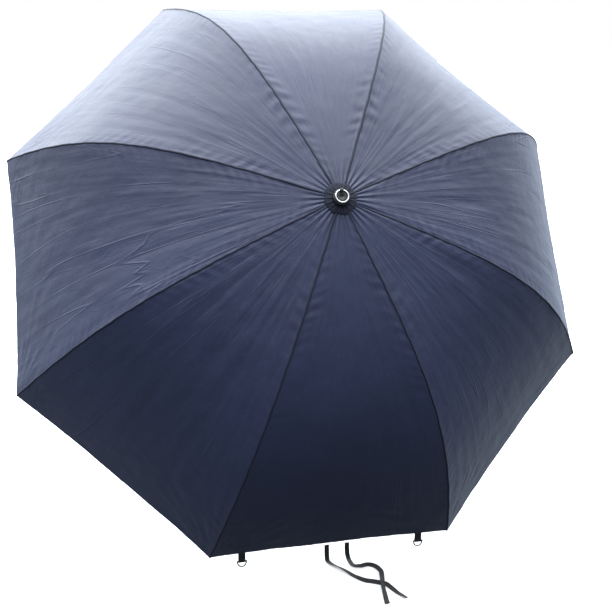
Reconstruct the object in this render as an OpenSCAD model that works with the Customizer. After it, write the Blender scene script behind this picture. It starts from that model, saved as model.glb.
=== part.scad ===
// Fishing umbrella: guyed eight-panel dome on a tilting, telescopic pole.
// Row frame: Z up along the lower pole, origin where the pole meets the ground, head leans toward -Y.
// Units: millimetres.

/* [Canopy] */
// Distance from the head axis to a corner of the rim
rim_r = 1010; // [800:1:1200]
// Depth of the dome, crown to rim corner, as a share of the radius
dome_depth = 0.5974; // [0.4:0.001:0.75]
// Reach of the shallow upper part of the rib curve, share of the radius
dome_shoulder = 0.5181; // [0.4:0.001:0.6]
// Reach of the lower handle of the rib curve, share of the radius
dome_hip = 0.7055; // [0.6:0.001:0.85]
// Thickness of the cover solid
cover_t = 1.2; // [0.8:0.1:2]
// Steps along a rib used for the cover
cover_steps = 14; // [8:1:24]
// Radius of the gathered patch round the crown
patch_r = 49; // [35:1:70]

/* [Pole] */
// Lean of the head from upright, degrees
lean = 60.93; // [0:0.01:75]
// Height of the tilt pivot above the ground
knuckle_z = 500; // [420:1:700]
// Distance from the tilt pivot to the crown along the head axis
head_len = 1360; // [1300:1:1500]
// Outer radius of the head shaft
shaft_r = 11; // [9:0.1:13]
// Outer radius of the lower tube
lower_r = 12.5; // [11:0.1:16]
// Height of the lower tube
lower_top = 400; // [350:1:420]

/* [Ribs] */
// Radius of the rib pivots about the head axis
pivot_r = 22; // [20:0.5:28]
// Depth of the rib pivots below the crown
pivot_drop = 10; // [9:0.5:16]
// Depth of the rib centre line below the cover
rib_drop = 6.5; // [6:0.1:10]
// Radius of a rib rod
rod_r = 2.5; // [2:0.1:3]
// Place of the stretcher joint along the rib curve
joint_t = 0.38; // [0.3:0.01:0.5]

/* [Fittings] */
// Distance of each D-ring from its corner along the hem
dring_from_corner = 100; // [60:1:160]
// Width of the D-ring across its straight bar
dring_w = 33; // [24:1:40]
// Height of the D-ring from bar to apex
dring_h = 20; // [14:1:26]
// Webbing width of the D-ring tabs
tab_w = 22; // [15:1:24]
// Width of the tie tapes
tie_w = 15; // [10:1:25]
// Major radius of the ring on the crown cap
ring_r = 18; // [14:0.5:24]
// Wire radius of the ring on the crown cap
ring_wire = 2; // [1.5:0.1:3]

/* [Hidden] */
$fn = 48;
e = 0.05;
hub_r = 27;
slot_w = 4;
ear_t = 3;

function lerp3(a, b, c, d, t) = pow(1-t,3)*a + 3*pow(1-t,2)*t*b + 3*(1-t)*t*t*c + pow(t,3)*d;
function d3(a, b, c, d, t) = 3*pow(1-t,2)*(b-a) + 6*(1-t)*t*(c-b) + 3*t*t*(d-c);
shoulder_z = -0.1054*dome_shoulder;
hip_z = -0.1131*dome_hip;
// rib curve as [radius, height] from the crown
function bz(t) = [rim_r*lerp3(0, dome_shoulder, dome_hip, 1, t), rim_r*lerp3(0, shoulder_z, hip_z, -dome_depth, t)];
function dz(t) = [d3(0, dome_shoulder, dome_hip, 1, t), d3(0, shoulder_z, hip_z, -dome_depth, t)];
function unit(v) = v / norm(v);
function nrm(t) = let(d = unit(dz(t))) [-d[1], d[0]];
function off(t, h) = bz(t) + h*nrm(t);
function psi(i) = 112.5 - 45*(i-1);

piv = [pivot_r, -pivot_drop];
J = off(joint_t, -rib_drop);
link = norm(J - piv);
Q = [pivot_r, 2*J[1] - piv[1]];
corner = bz(1);

// hem of the lowest panel, in the row frame
hem_mid_r = rim_r*cos(22.5);
hem_y = -head_len*sin(lean) - hem_mid_r*cos(lean) - corner[1]*sin(lean);
hem_z = knuckle_z + head_len*cos(lean) - hem_mid_r*sin(lean) + corner[1]*cos(lean);
hem_x = rim_r*sin(22.5);

module head() translate([0, 0, knuckle_z]) rotate([lean, 0, 0]) children();
module crown() head() translate([0, 0, head_len]) children();
module at_rib(i) crown() rotate([0, 0, psi(i)]) children();

// parts of a rib, drawn in the rib's own plane: points are [radius, height]
module along(a, b) translate([a[0], 0, a[1]]) rotate([0, atan2(b[0]-a[0], b[1]-a[1]), 0]) children();
module rod(pts, r) {
    for (k = [0:len(pts)-2]) along(pts[k], pts[k+1]) cylinder(h = norm(pts[k+1]-pts[k]), r = r);
    for (k = [1:len(pts)-2]) along(pts[k], pts[k+1]) rotate([90, 0, 0]) sphere(r = r + 0.2);
}
module plate(a, b, h, t) along(a, b) translate([-h/2, -t/2, 0]) cube([h, t, norm(b-a)]);
module disc(p, r, t) translate([p[0], t/2, p[1]]) rotate([90, 0, 0]) cylinder(h = t, r = r);
module pair(y) for (s = [-1, 1]) translate([0, s*y, 0]) children();

module shell(t0, t1, n, lo, hi) {
    top = [for (k = [0:n]) for (i = [0:7]) let(p = off(t0+(t1-t0)*k/n, hi)) [p[0]*cos(22.5+45*i), p[0]*sin(22.5+45*i), p[1]]];
    low = [for (k = [0:n]) for (i = [0:7]) let(p = off(t0+(t1-t0)*k/n, lo)) [p[0]*cos(22.5+45*i), p[0]*sin(22.5+45*i), p[1]]];
    m = 8*(n+1);
    faces = concat(
        [for (k = [0:n-1]) for (i = [0:7]) let(j = (i+1)%8) [8*k+i, 8*k+j, 8*k+8+j, 8*k+8+i]],
        [for (k = [0:n-1]) for (i = [0:7]) let(j = (i+1)%8) [m+8*k+i, m+8*k+8+i, m+8*k+8+j, m+8*k+j]],
        [for (i = [0:7]) let(j = (i+1)%8) [8*n+i, 8*n+j, m+8*n+j, m+8*n+i]],
        [for (i = [0:7]) let(j = (i+1)%8) [i, m+i, m+j, j]]);
    polyhedron(points = concat(top, low), faces = faces, convexity = 6);
}

inner_ts = [0.055, 0.15, 0.25, 0.345];
outer_ts = [0.50, 0.62, 0.74, 0.87, 1];
inner_pts = [for (t = inner_ts) off(t, -rib_drop)];
outer_pts = [for (t = outer_ts) off(t, -rib_drop)];
u_in = unit(inner_pts[0] - piv);
u_j = unit(J - inner_pts[3]);
u_out = unit(outer_pts[0] - J);
u_s = unit(Q - J);
u_tip = unit(outer_pts[4] - outer_pts[3]);

module rib_inner(i) color([0.72, 0.73, 0.75]) at_rib(i) {
    difference() {
        union() {
            disc(piv, 4.5, ear_t);
            plate(piv, piv + 21*u_in, 6, ear_t);
        }
        disc(piv, 1.9, 10);
    }
    rod(concat([piv + 19*u_in], inner_pts, [J - 13*u_j]), rod_r);
    plate(J - 15*u_j, J, 5, ear_t);
    disc(J, 4.2, ear_t);
    disc(J, 1.5, 11);
    pair(5.5) disc(J, 2.4, 0.8);
}
module rib_outer(i) color([0.70, 0.71, 0.73]) at_rib(i) {
    difference() {
        union() {
            pair(2.45) disc(J, 4.2, 1.5);
            pair(2.45) plate(J, J + 18*u_out, 6, 1.5);
        }
        disc(J, 1.55, 20);
    }
    plate(J + 13*u_out, J + 20*u_out, 6, 6.4);
    rod(concat([J + 16*u_out], outer_pts), rod_r);
}
module rib_tip(i) color([0.05, 0.05, 0.055]) at_rib(i) along(outer_pts[4] - 16*u_tip, outer_pts[4]) difference() {
    union() {
        cylinder(h = 19, r = 3.6);
        translate([0, 0, 19]) sphere(r = 3.6);
    }
    translate([0, 0, -1]) cylinder(h = 17, r = rod_r);
}
module stretcher(i) color([0.66, 0.67, 0.70]) at_rib(i) {
    difference() {
        union() {
            pair(4.15) disc(J, 4.2, 1.5);
            pair(4.15) plate(J, J + 42*u_s, 6, 1.5);
        }
        disc(J, 1.55, 20);
    }
    plate(J + 38*u_s, J + 46*u_s, 6, 9.8);
    rod([J + 42*u_s, Q - 58*u_s], rod_r);
    plate(Q - 60*u_s, Q, 5.5, ear_t);
    difference() {
        disc(Q, 4, ear_t);
        disc(Q, 1.6, 10);
    }
}

// pole
module ground_spike() color([0.62, 0.63, 0.65]) {
    translate([0, 0, -200]) cylinder(h = 200, r = 8);
    translate([0, 0, -250]) cylinder(h = 50, r1 = 1, r2 = 8);
    cylinder(h = 6, r = 24);
    translate([0, 0, 6]) cylinder(h = 54, r = 11);
}
module lower_tube() color([0.70, 0.71, 0.73]) difference() {
    translate([0, 0, 6]) cylinder(h = lower_top - 6, r = lower_r);
    cylinder(h = lower_top + 10, r = 11);
    translate([0, 0, 392]) rotate([0, 90, 0]) cylinder(h = 30, r = 4.1);
}
module height_collar() color([0.06, 0.06, 0.065]) difference() {
    union() {
        translate([0, 0, 366]) cylinder(h = 50, r = 19);
        translate([12, 0, 392]) rotate([0, 90, 0]) cylinder(h = 18, r = 9);
    }
    translate([0, 0, 360]) cylinder(h = 40, r = lower_r);
    translate([0, 0, 360]) cylinder(h = 70, r = 11.05);
    translate([0, 0, 392]) rotate([0, 90, 0]) cylinder(h = 60, r = 4.1);
}
module height_screw() color([0.05, 0.05, 0.055]) translate([0, 0, 392]) rotate([0, 90, 0]) {
    translate([0, 0, 11.3]) cylinder(h = 24, r = 4);
    translate([0, 0, 31.5]) cylinder(h = 8, r = 8);
    for (s = [0, 180]) rotate([0, 0, s]) translate([5, -2.5, 31.5]) cube([13, 5, 12]);
    translate([0, 0, 31.5]) cylinder(h = 12, r = 6);
}
module mid_tube() color([0.72, 0.73, 0.75]) difference() {
    translate([0, 0, 110]) cylinder(h = 330, r = 10.95);
    translate([0, 0, 100]) cylinder(h = 350, r = 9.4);
}
module knuckle_fork() color([0.05, 0.05, 0.055]) difference() {
    union() {
        translate([0, 0, 424]) cylinder(h = 46, r = 16);
        for (s = [-1, 1]) translate([s*12 - 3, 0, 0]) {
            translate([0, -14, 460]) cube([6, 28, knuckle_z - 460]);
            translate([0, 0, knuckle_z]) rotate([0, 90, 0]) cylinder(h = 6, r = 16);
        }
    }
    translate([0, 0, 420]) cylinder(h = 20, r = 10.95);
    translate([-20, 0, knuckle_z]) rotate([0, 90, 0]) cylinder(h = 40, r = 5);
}
module tilt_bolt() color([0.55, 0.56, 0.58]) translate([0, 0, knuckle_z]) rotate([0, 90, 0]) {
    translate([0, 0, -17]) cylinder(h = 46, r = 5);
    translate([0, 0, -21]) cylinder(h = 6, r = 8.5, $fn = 6);
    translate([0, 0, 27.5]) cylinder(h = 3, r = 6.5);
}
module tilt_knob() color([0.05, 0.05, 0.055]) translate([0, 0, knuckle_z]) rotate([0, 90, 0]) difference() {
    union() {
        translate([0, 0, 15.4]) cylinder(h = 11.8, r = 12);
        for (s = [0, 180]) rotate([0, 0, s]) translate([8, -3.5, 16.5]) cube([24, 7, 10]);
        for (s = [0, 180]) rotate([0, 0, s]) translate([32, 0, 16.5]) cylinder(h = 10, r = 5);
    }
    cylinder(h = 40, r = 5.06);
}
module knuckle_tongue() color([0.06, 0.06, 0.065]) head() difference() {
    union() {
        translate([-8.9, 0, 0]) rotate([0, 90, 0]) cylinder(h = 17.8, r = 15.5);
        translate([-8.9, -13, 0]) cube([17.8, 26, 34]);
        translate([0, 0, 30]) cylinder(h = 50, r = 15);
    }
    translate([-20, 0, 0]) rotate([0, 90, 0]) cylinder(h = 40, r = 5.06);
    translate([0, 0, 42]) cylinder(h = 60, r = shaft_r);
}
module shaft() color([0.74, 0.75, 0.77]) head() difference() {
    translate([0, 0, 42]) cylinder(h = head_len + 8 - 42, r = shaft_r);
    translate([0, 0, 30]) cylinder(h = head_len, r = shaft_r - 1.5);
}

// runner and crown
module runner() color([0.05, 0.05, 0.055]) crown() difference() {
    union() {
        translate([0, 0, Q[1] - 55]) cylinder(h = 67, r = 15);
        translate([0, 0, Q[1] - 8]) cylinder(h = 16, r = hub_r);
        translate([10, 0, Q[1] - 38]) rotate([0, 90, 0]) cylinder(h = 10, r = 4.6);
    }
    translate([0, 0, Q[1] - 60]) cylinder(h = 80, r = shaft_r + 0.06);
    for (i = [1:8]) rotate([0, 0, psi(i)]) translate([16.5, -slot_w/2, Q[1] - 20]) cube([20, slot_w, 40]);
    translate([0, 0, Q[1] - 38]) rotate([0, 90, 0]) cylinder(h = 40, r = 2.55);
}
module runner_screw() color([0.08, 0.08, 0.085]) crown() translate([0, 0, Q[1] - 38]) rotate([0, 90, 0]) {
    translate([0, 0, 11.3]) cylinder(h = 12, r = 2.5);
    translate([0, 0, 20.6]) cylinder(h = 9, r = 5.8);
    translate([0, 0, 29.6]) cylinder(h = 1.5, r1 = 5.8, r2 = 4.6);
}
module notch_hub() color([0.06, 0.06, 0.065]) crown() difference() {
    translate([0, 0, -pivot_drop - 10]) cylinder(h = 15, r = hub_r);
    translate([0, 0, -40]) cylinder(h = 60, r = shaft_r);
    for (i = [1:8]) rotate([0, 0, psi(i)]) translate([16.5, -slot_w/2, -40]) cube([20, slot_w, 60]);
    translate([0, 0, -pivot_drop]) rotate_extrude() translate([pivot_r, 0]) circle(r = 1.3);
}
module notch_wire() color([0.6, 0.6, 0.62]) crown() translate([0, 0, -pivot_drop]) rotate_extrude() translate([pivot_r, 0]) circle(r = 1.2);
module canopy() color([0.07, 0.09, 0.19]) crown() shell(0.0083, 1, cover_steps, -cover_t/2, cover_t/2);
module crown_patch() color([0.05, 0.06, 0.13]) crown() shell(0.0083, 0.0318*patch_r/49, 3, cover_t/2 + 0.3, cover_t/2 + 1.3);
module crown_cap() color([0.03, 0.03, 0.035]) crown() difference() {
    union() {
        translate([0, 0, 1.4]) cylinder(h = 9.1, r = 25);
        translate([0, 0, 10.5]) cylinder(h = 3, r1 = 25, r2 = 22.5);
    }
    translate([0, 0, -2]) cylinder(h = 10, r = shaft_r);
}
module ring_lug() color([0.05, 0.05, 0.055]) crown() difference() {
    union() {
        translate([-5, ring_r, 16.2]) rotate([0, 90, 0]) cylinder(h = 10, r = 5.2);
        translate([-5, ring_r - 5.2, 13.5]) cube([10, 10.4, 2.7]);
    }
    translate([-10, ring_r, 16.2]) rotate([0, 90, 0]) cylinder(h = 20, r = 2.9);
    translate([-20, 0, 3.5]) cube([40, 40, 10]);
}
module top_ring() color([0.85, 0.86, 0.88]) crown() translate([0, 0, 16.2]) rotate_extrude() translate([ring_r, 0]) circle(r = ring_wire);

// fittings on the hem of the lowest panel, drawn in the row frame
bar_z = hem_z - 24;
function side_x(s) = s*(hem_x - dring_from_corner);
module tab(s) color([0.04, 0.04, 0.05]) translate([side_x(s), hem_y, bar_z]) difference() {
    union() {
        translate([-tab_w/2, 0, 0]) rotate([0, 90, 0]) cylinder(h = tab_w, r = 3.8);
        translate([-tab_w/2, -1, 0]) cube([tab_w, 2, 22.6]);
    }
    translate([-50, 0, 0]) rotate([0, 90, 0]) cylinder(h = 100, r = 2.05);
}
module dring(s) color([0.03, 0.03, 0.035]) translate([side_x(s), hem_y, bar_z]) {
    w = dring_w/2 - 2;
    d = [[-w, 0], [-w*0.86, -dring_h*0.5], [-w*0.38, -dring_h+2.4], [w*0.38, -dring_h+2.4], [w*0.86, -dring_h*0.5], [w, 0]];
    translate([-w, 0, 0]) rotate([0, 90, 0]) cylinder(h = 2*w, r = 2);
    for (k = [0:4]) along(d[k], d[k+1]) cylinder(h = norm(d[k+1]-d[k]), r = 2);
    for (p = d) translate([p[0], 0, p[1]]) sphere(r = 2.06);
}
// flat tape through a list of floor points
module tape(pts, z, top_x) {
    for (k = [0:len(pts)-2]) let(v = pts[k+1]-pts[k])
        translate([pts[k][0], pts[k][1], z]) rotate([0, 0, atan2(v[1], v[0])]) translate([0, -tie_w/2, 0]) cube([norm(v), tie_w, 1]);
    for (k = [1:len(pts)-1]) translate([pts[k][0], pts[k][1], z - 0.03]) cylinder(h = 1.06, r = tie_w/2 + 0.06);
    translate([top_x - tie_w/2, hem_y - 0.5, z]) cube([tie_w, 1, hem_z - 1.6 - z]);
    translate([top_x - tie_w/2, hem_y - 8, z]) cube([tie_w, 8.5, 1]);
}
tie_l = [[-16, -1118], [-16, -1132], [-4, -1160], [20, -1194], [41, -1232], [64, -1266], [88, -1281], [109, -1294], [122, -1302], [132, -1326], [144, -1356], [158, -1386]];
tie_r = [[50, -1118], [52, -1163], [58, -1178], [76, -1184], [98, -1182], [117, -1195], [128, -1226], [122, -1260], [113, -1297], [102, -1354], [94, -1403]];
module tie_left() color([0.03, 0.03, 0.035]) tape(tie_l, 0.1, -16);
module tie_right() color([0.03, 0.03, 0.035]) tape(tie_r, 1.5, 50);
module dring_tab_left() tab(-1);
module dring_tab_right() tab(1);
module dring_left() dring(-1);
module dring_right() dring(1);

module rib_inner_1() rib_inner(1);
module rib_inner_2() rib_inner(2);
module rib_inner_3() rib_inner(3);
module rib_inner_4() rib_inner(4);
module rib_inner_5() rib_inner(5);
module rib_inner_6() rib_inner(6);
module rib_inner_7() rib_inner(7);
module rib_inner_8() rib_inner(8);
module rib_outer_1() rib_outer(1);
module rib_outer_2() rib_outer(2);
module rib_outer_3() rib_outer(3);
module rib_outer_4() rib_outer(4);
module rib_outer_5() rib_outer(5);
module rib_outer_6() rib_outer(6);
module rib_outer_7() rib_outer(7);
module rib_outer_8() rib_outer(8);
module rib_tip_1() rib_tip(1);
module rib_tip_2() rib_tip(2);
module rib_tip_3() rib_tip(3);
module rib_tip_4() rib_tip(4);
module rib_tip_5() rib_tip(5);
module rib_tip_6() rib_tip(6);
module rib_tip_7() rib_tip(7);
module rib_tip_8() rib_tip(8);
module stretcher_1() stretcher(1);
module stretcher_2() stretcher(2);
module stretcher_3() stretcher(3);
module stretcher_4() stretcher(4);
module stretcher_5() stretcher(5);
module stretcher_6() stretcher(6);
module stretcher_7() stretcher(7);
module stretcher_8() stretcher(8);

ground_spike();
lower_tube();
height_collar();
height_screw();
mid_tube();
knuckle_fork();
tilt_bolt();
tilt_knob();
knuckle_tongue();
shaft();
runner();
runner_screw();
notch_hub();
notch_wire();
canopy();
crown_patch();
crown_cap();
ring_lug();
top_ring();
dring_tab_left();
dring_tab_right();
dring_left();
dring_right();
tie_left();
tie_right();
rib_inner_1();
rib_inner_2();
rib_inner_3();
rib_inner_4();
rib_inner_5();
rib_inner_6();
rib_inner_7();
rib_inner_8();
rib_outer_1();
rib_outer_2();
rib_outer_3();
rib_outer_4();
rib_outer_5();
rib_outer_6();
rib_outer_7();
rib_outer_8();
rib_tip_1();
rib_tip_2();
rib_tip_3();
rib_tip_4();
rib_tip_5();
rib_tip_6();
rib_tip_7();
rib_tip_8();
stretcher_1();
stretcher_2();
stretcher_3();
stretcher_4();
stretcher_5();
stretcher_6();
stretcher_7();
stretcher_8();
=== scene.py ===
import bpy, bmesh, math
import numpy as np
from mathutils import Matrix, Vector, noise


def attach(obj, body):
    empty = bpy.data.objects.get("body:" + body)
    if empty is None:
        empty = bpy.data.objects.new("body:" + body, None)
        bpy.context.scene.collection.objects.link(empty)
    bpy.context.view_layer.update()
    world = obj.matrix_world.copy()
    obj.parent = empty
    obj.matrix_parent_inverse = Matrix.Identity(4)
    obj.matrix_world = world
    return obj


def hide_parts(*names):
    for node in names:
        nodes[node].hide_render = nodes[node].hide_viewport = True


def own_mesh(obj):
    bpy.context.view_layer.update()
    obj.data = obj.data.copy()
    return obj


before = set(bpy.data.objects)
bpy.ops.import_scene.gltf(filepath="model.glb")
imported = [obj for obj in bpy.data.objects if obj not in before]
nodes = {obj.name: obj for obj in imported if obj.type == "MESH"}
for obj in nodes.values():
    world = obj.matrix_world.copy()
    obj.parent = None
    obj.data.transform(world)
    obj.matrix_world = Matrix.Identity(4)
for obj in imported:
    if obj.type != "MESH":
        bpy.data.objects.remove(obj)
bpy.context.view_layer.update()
col = bpy.context.scene.collection

# ------------------------------------------------------------------ layout, repeated from the CAD
LEAN = math.radians(60.93)
KZ, K, R = 0.5, 1.360, 1.010
PIVOT = Vector((0, 0, KZ))
CROWN = Matrix.Translation(PIVOT) @ Matrix.Rotation(LEAN, 4, "X") @ Matrix.Translation((0, 0, K))
HEAD = Matrix.Translation(PIVOT) @ Matrix.Rotation(LEAN, 4, "X")
BEZ = np.array([(0, 0), (.5181, -.1054 * .5181), (.7055, -.1131 * .7055), (1, -.5974)]) * R


def psi(i):
    return math.radians(112.5 - 45 * (i - 1))


def bez(t):
    t = np.asarray(t, float)[..., None]
    return (1 - t) ** 3 * BEZ[0] + 3 * (1 - t) ** 2 * t * BEZ[1] + 3 * (1 - t) * t * t * BEZ[2] + t ** 3 * BEZ[3]


def dbez(t):
    t = np.asarray(t, float)[..., None]
    return 3 * (1 - t) ** 2 * (BEZ[1] - BEZ[0]) + 6 * (1 - t) * t * (BEZ[2] - BEZ[1]) + 3 * t * t * (BEZ[3] - BEZ[2])


def bnorm(t):
    d = dbez(t)
    n = np.stack([-d[..., 1], d[..., 0]], -1)
    return n / np.linalg.norm(n, axis=-1, keepdims=True)


TT = np.linspace(0, 1, 2001)
BB = bez(TT)
ARC = np.concatenate([[0], np.cumsum(np.linalg.norm(np.diff(BB, axis=0), axis=1))])
RAD = BB[:, 0]
TJ = 0.38
J2 = bez(TJ) - 0.0065 * bnorm(TJ)
PIV2 = np.array([0.022, -0.010])
Q2 = np.array([0.022, 2 * J2[1] - PIV2[1]])
HEM_X = R * math.sin(math.radians(22.5))
HEM_Y = -K * math.sin(LEAN) - R * math.cos(math.radians(22.5)) * math.cos(LEAN) + .5974 * R * math.sin(LEAN)
HEM_Z = KZ + K * math.cos(LEAN) - R * math.cos(math.radians(22.5)) * math.sin(LEAN) - .5974 * R * math.cos(LEAN)
M3 = np.array(CROWN.to_3x3())
T3 = np.array(CROWN.to_translation())


def to_row(p):
    return np.asarray(p) @ M3.T + T3


# ------------------------------------------------------------------ camera
cam_data = bpy.data.cameras.new("camera")
cam = bpy.data.objects.new("camera", cam_data)
col.objects.link(cam)
cx, cd, cf = Vector((0.9746, -0.2235, 0)), Vector((-0.0599, -0.2593, -0.9638)), Vector((0.2153, 0.9396, -0.2662))
m = Matrix.Identity(4)
m.col[0][:3], m.col[1][:3], m.col[2][:3] = cx, -cd, -cf
m.translation = Vector((-0.6975, -3.7946, 1.5940))
cam.matrix_world = m
cam_data.lens, cam_data.sensor_width = 57.44, 36
cam_data.clip_end = 200
bpy.context.scene.camera = cam

# ------------------------------------------------------------------ material helpers
def new_mat(name):
    mt = bpy.data.materials.new(name)
    mt.use_nodes = True
    nt = mt.node_tree
    nt.nodes.clear()
    out = nt.nodes.new("ShaderNodeOutputMaterial")
    p = nt.nodes.new("ShaderNodeBsdfPrincipled")
    nt.links.new(p.outputs[0], out.inputs[0])
    return mt, nt, p


def N(nt, kind, **k):
    n = nt.nodes.new(kind)
    for a, b in k.items():
        if a.startswith("_"):
            setattr(n, a[1:], b)
        else:
            n.inputs[a.replace("__", " ")].default_value = b
    return n


def math_node(nt, op, a, b=None, c=None):
    n = nt.nodes.new("ShaderNodeMath")
    n.operation = op
    for k, v in enumerate((a, b, c)):
        if v is None:
            continue
        if isinstance(v, (int, float)):
            n.inputs[k].default_value = v
        else:
            nt.links.new(v, n.inputs[k])
    return n.outputs[0]


def ramp(nt, src, stops):
    n = nt.nodes.new("ShaderNodeValToRGB")
    el = n.color_ramp.elements
    el[0].position, el[0].color = stops[0][0], (*stops[0][1], 1)
    el[1].position, el[1].color = stops[-1][0], (*stops[-1][1], 1)
    for pos, c in stops[1:-1]:
        e = el.new(pos)
        e.color = (*c, 1)
    nt.links.new(src, n.inputs[0])
    return n.outputs[0]


def attr(nt, name):
    n = nt.nodes.new("ShaderNodeAttribute")
    n.attribute_name = name
    return n.outputs["Fac"]


def bump(nt, p, height, strength, distance, prev=None):
    n = nt.nodes.new("ShaderNodeBump")
    n.inputs["Strength"].default_value = strength
    n.inputs["Distance"].default_value = distance
    nt.links.new(height, n.inputs["Height"])
    if prev is not None:
        nt.links.new(prev, n.inputs["Normal"])
    nt.links.new(n.outputs[0], p.inputs["Normal"])
    return n.outputs[0]


def cloth_material(name, dark, light, rough, sheen, sheen_rough, spec, weave=900.0, crinkle=1.0):
    mt, nt, p = new_mat(name)
    tc = nt.nodes.new("ShaderNodeTexCoord")
    pos = tc.outputs["Object"]
    big = N(nt, "ShaderNodeTexNoise", Scale=3.2, Detail=5.0, Roughness=0.62)
    nt.links.new(pos, big.inputs["Vector"])
    fine = N(nt, "ShaderNodeTexNoise", Scale=85.0, Detail=6.0, Roughness=0.7)
    nt.links.new(pos, fine.inputs["Vector"])
    grit = N(nt, "ShaderNodeTexNoise", Scale=620.0, Detail=2.0, Roughness=0.6)
    nt.links.new(pos, grit.inputs["Vector"])
    mixv = math_node(nt, "ADD", math_node(nt, "MULTIPLY", big.outputs["Fac"], 0.55), math_node(nt, "MULTIPLY", fine.outputs["Fac"], 0.45))
    nt.links.new(ramp(nt, mixv, [(0.3, dark), (0.72, light)]), p.inputs["Base Color"])
    rr = nt.nodes.new("ShaderNodeMapRange")
    nt.links.new(mixv, rr.inputs["Value"])
    rr.inputs["From Min"].default_value, rr.inputs["From Max"].default_value = 0.3, 0.7
    rr.inputs["To Min"].default_value, rr.inputs["To Max"].default_value = rough - 0.05, rough + 0.07
    nt.links.new(rr.outputs[0], p.inputs["Roughness"])
    p.inputs["Specular IOR Level"].default_value = spec
    p.inputs["Sheen Weight"].default_value = sheen
    p.inputs["Sheen Roughness"].default_value = sheen_rough
    p.inputs["Sheen Tint"].default_value = (0.80, 0.88, 1.0, 1)
    # ripstop weave from the two cloth directions kept on the mesh
    a = math_node(nt, "SINE", math_node(nt, "MULTIPLY", attr(nt, "c_lat"), weave * 6.2832))
    b = math_node(nt, "SINE", math_node(nt, "MULTIPLY", attr(nt, "c_arc"), weave * 6.2832))
    wv = math_node(nt, "MULTIPLY", a, b)
    crk = N(nt, "ShaderNodeTexNoise", Scale=26.0, Detail=7.0, Roughness=0.66, Distortion=0.6)
    nt.links.new(pos, crk.inputs["Vector"])
    cmb = nt.nodes.new("ShaderNodeCombineXYZ")
    nt.links.new(math_node(nt, "MULTIPLY", attr(nt, "c_u"), 8.0), cmb.inputs[0])
    nt.links.new(math_node(nt, "MULTIPLY", attr(nt, "c_arc"), 1.3), cmb.inputs[1])
    stk = N(nt, "ShaderNodeTexNoise", Scale=1.0, Detail=3.0, Roughness=0.5, Distortion=0.3)
    nt.links.new(cmb.outputs[0], stk.inputs["Vector"])
    b0 = bump(nt, p, stk.outputs["Fac"], 0.30 * crinkle, 0.004)
    # sharp fold lines: thin level lines of a smooth noise drawn out down the gore, faded in patches
    for su, sa, wd, amp, seed in ((4.2, 0.9, 0.010, 0.55, 3.0), (8.0, 2.0, 0.012, 0.22, 11.0), (2.0, 6.5, 0.010, 0.14, 23.0)):
        cm = nt.nodes.new("ShaderNodeCombineXYZ")
        nt.links.new(math_node(nt, "MULTIPLY", attr(nt, "c_u"), su), cm.inputs[0])
        nt.links.new(math_node(nt, "MULTIPLY", attr(nt, "c_arc"), sa), cm.inputs[1])
        cm.inputs[2].default_value = seed
        ln = N(nt, "ShaderNodeTexNoise", Scale=1.0, Detail=1.0, Roughness=0.4, Distortion=0.2)
        nt.links.new(cm.outputs[0], ln.inputs["Vector"])
        thin = math_node(nt, "ABSOLUTE", math_node(nt, "SUBTRACT", ln.outputs["Fac"], 0.5))
        line = nt.nodes.new("ShaderNodeMapRange")
        nt.links.new(thin, line.inputs["Value"])
        line.inputs["From Max"].default_value = wd
        line.inputs["To Min"].default_value = 1.0
        line.inputs["To Max"].default_value = 0.0
        fade = nt.nodes.new("ShaderNodeMapRange")
        nt.links.new(big.outputs["Fac"], fade.inputs["Value"])
        fade.inputs["From Min"].default_value = 0.42
        fade.inputs["From Max"].default_value = 0.62
        b0 = bump(nt, p, math_node(nt, "MULTIPLY", line.outputs[0], fade.outputs[0]), amp * crinkle, 0.0016, b0)
    b1 = bump(nt, p, crk.outputs["Fac"], 0.13 * crinkle, 0.0022, b0)
    b2 = bump(nt, p, fine.outputs["Fac"], 0.25 * crinkle, 0.0012, b1)
    b3 = bump(nt, p, grit.outputs["Fac"], 0.22, 0.0004, b2)
    bump(nt, p, wv, 0.15, 0.00015, b3)
    return mt


def plastic(name, base, rough=0.5, grain=900.0, strength=0.12, wear=0.35):
    mt, nt, p = new_mat(name)
    tc = nt.nodes.new("ShaderNodeTexCoord")
    g = N(nt, "ShaderNodeTexNoise", Scale=grain, Detail=3.0, Roughness=0.6)
    nt.links.new(tc.outputs["Object"], g.inputs["Vector"])
    s = N(nt, "ShaderNodeTexNoise", Scale=22.0, Detail=6.0, Roughness=0.7)
    nt.links.new(tc.outputs["Object"], s.inputs["Vector"])
    geo = nt.nodes.new("ShaderNodeNewGeometry")
    edge = ramp(nt, geo.outputs["Pointiness"], [(0.5, (0, 0, 0)), (0.56, (1, 1, 1))])
    e = math_node(nt, "MULTIPLY", edge, wear)
    c0 = ramp(nt, s.outputs["Fac"], [(0.3, tuple(x * 0.75 for x in base)), (0.7, tuple(min(1, x * 1.35) for x in base))])
    mx = nt.nodes.new("ShaderNodeMix")
    mx.data_type = "RGBA"
    nt.links.new(e, mx.inputs[0])
    nt.links.new(c0, mx.inputs[6])
    mx.inputs[7].default_value = (*[min(1, x * 2.2 + 0.03) for x in base], 1)
    nt.links.new(mx.outputs[2], p.inputs["Base Color"])
    rr = nt.nodes.new("ShaderNodeMapRange")
    nt.links.new(s.outputs["Fac"], rr.inputs["Value"])
    rr.inputs["To Min"].default_value, rr.inputs["To Max"].default_value = rough - 0.1, rough + 0.12
    nt.links.new(rr.outputs[0], p.inputs["Roughness"])
    bump(nt, p, g.outputs["Fac"], strength, 0.0004)
    return mt


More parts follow.
